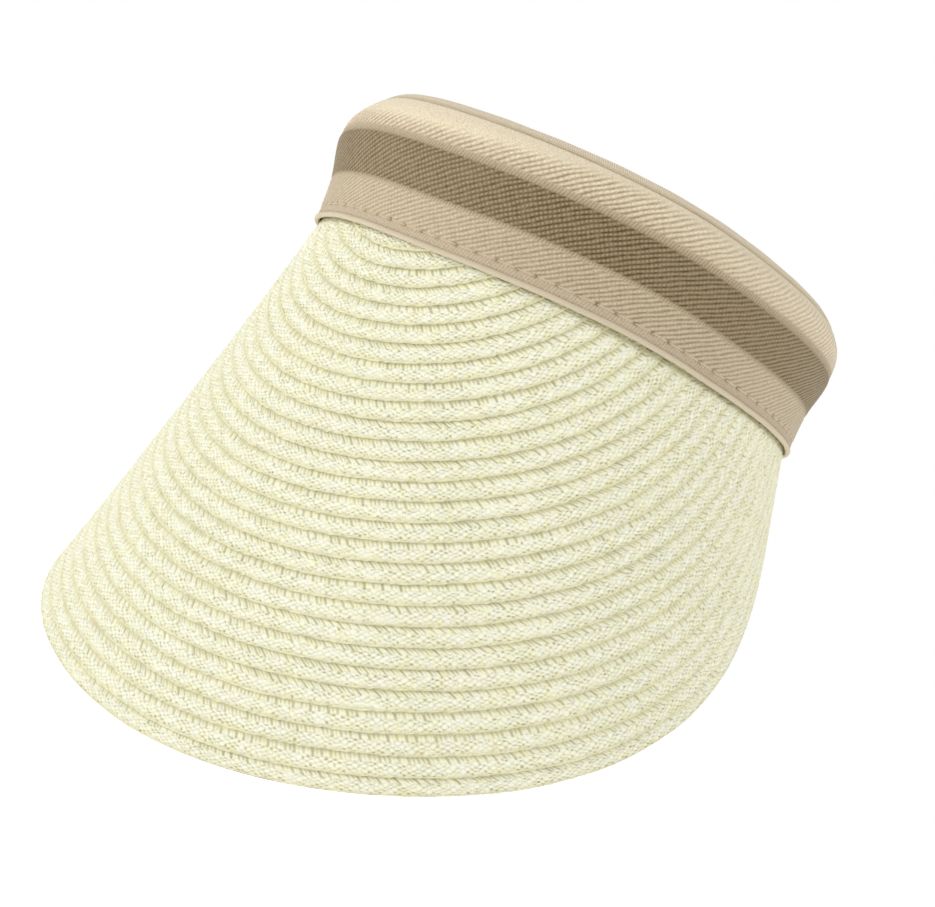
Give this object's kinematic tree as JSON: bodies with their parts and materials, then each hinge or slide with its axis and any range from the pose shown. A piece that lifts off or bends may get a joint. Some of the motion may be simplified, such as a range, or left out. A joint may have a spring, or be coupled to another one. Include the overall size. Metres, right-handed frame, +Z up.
{
  "type": "sun visor",
  "caption": "Clip-on sun visor with an open crown: a wide drooping brim of sewn paper-straw braid under a striped woven band on a C-shaped spring hoop with free tails.",
  "frame": {"origin": "centre of the oval seam where the brim is sewn into the band, on the head's axis", "axes": "+Z up out of the open crown, square to the seam; front of the brim towards -Y; wearer's left towards +X"},
  "size_m": [0.1936, 0.1637, 0.1748],
  "materials": {
    "straw_braid": "matt ivory paper-straw braid",
    "clear_filament": "clear monofilament",
    "ribbon_webbing": "twill-woven webbing, beige, taupe and beige stripes",
    "hoop_plastic": "plain springy plastic",
    "lining_cloth": "soft cotton lining",
    "binding_cloth": "finely ribbed binding",
    "piping_cloth": "rolled cotton edge",
    "thread": "spun sewing thread"
  },
  "bodies": {
    "visor": {"braid_row_01": "straw_braid", "braid_row_02": "straw_braid", "braid_row_03": "straw_braid", "braid_row_04": "straw_braid", "braid_row_05": "straw_braid", "braid_row_06": "straw_braid", "braid_row_07": "straw_braid", "braid_row_08": "straw_braid", "braid_row_09": "straw_braid", "braid_row_10": "straw_braid", "braid_row_11": "straw_braid", "braid_row_12": "straw_braid", "braid_row_13": "straw_braid", "braid_row_14": "straw_braid", "braid_row_15": "straw_braid", "braid_row_16": "straw_braid", "braid_row_17": "straw_braid", "braid_row_18": "straw_braid", "braid_row_19": "straw_braid", "braid_row_20": "straw_braid", "braid_row_21": "straw_braid", "braid_row_22": "straw_braid", "braid_row_23": "straw_braid", "braid_row_24": "straw_braid", "braid_row_25": "straw_braid", "braid_row_26": "straw_braid", "braid_row_27": "straw_braid", "braid_row_28": "straw_braid", "edge_wire": "clear_filament", "outer_ribbon": "ribbon_webbing", "spring_hoop": "hoop_plastic", "sweatband": "lining_cloth", "top_binding": "binding_cloth", "hem_piping": "piping_cloth", "hem_stitches": "thread"},
    "left_tail": {"outer_ribbon_left_tail": "ribbon_webbing", "spring_hoop_left_tail": "hoop_plastic", "sweatband_left_tail": "lining_cloth", "top_binding_left_tail": "binding_cloth", "hem_piping_left_tail": "piping_cloth", "hem_stitches_left_tail": "thread", "end_fold_left": "ribbon_webbing"},
    "right_tail": {"outer_ribbon_right_tail": "ribbon_webbing", "spring_hoop_right_tail": "hoop_plastic", "sweatband_right_tail": "lining_cloth", "top_binding_right_tail": "binding_cloth", "hem_piping_right_tail": "piping_cloth", "hem_stitches_right_tail": "thread", "end_fold_right": "ribbon_webbing"}
  },
  "joints": [
    {"name": "left_tail_flex", "type": "hinge", "parent": "visor", "child": "left_tail", "pos_m": [0.05512, 0.05506, 0.018], "axis": [0, 0, -1], "range_deg": [0, 25], "stiffness_Nm_per_rad": 0.3},
    {"name": "right_tail_flex", "type": "hinge", "parent": "visor", "child": "right_tail", "pos_m": [-0.05512, 0.05506, 0.018], "axis": [0, 0, 1], "range_deg": [0, 25], "stiffness_Nm_per_rad": 0.3}
  ]
}
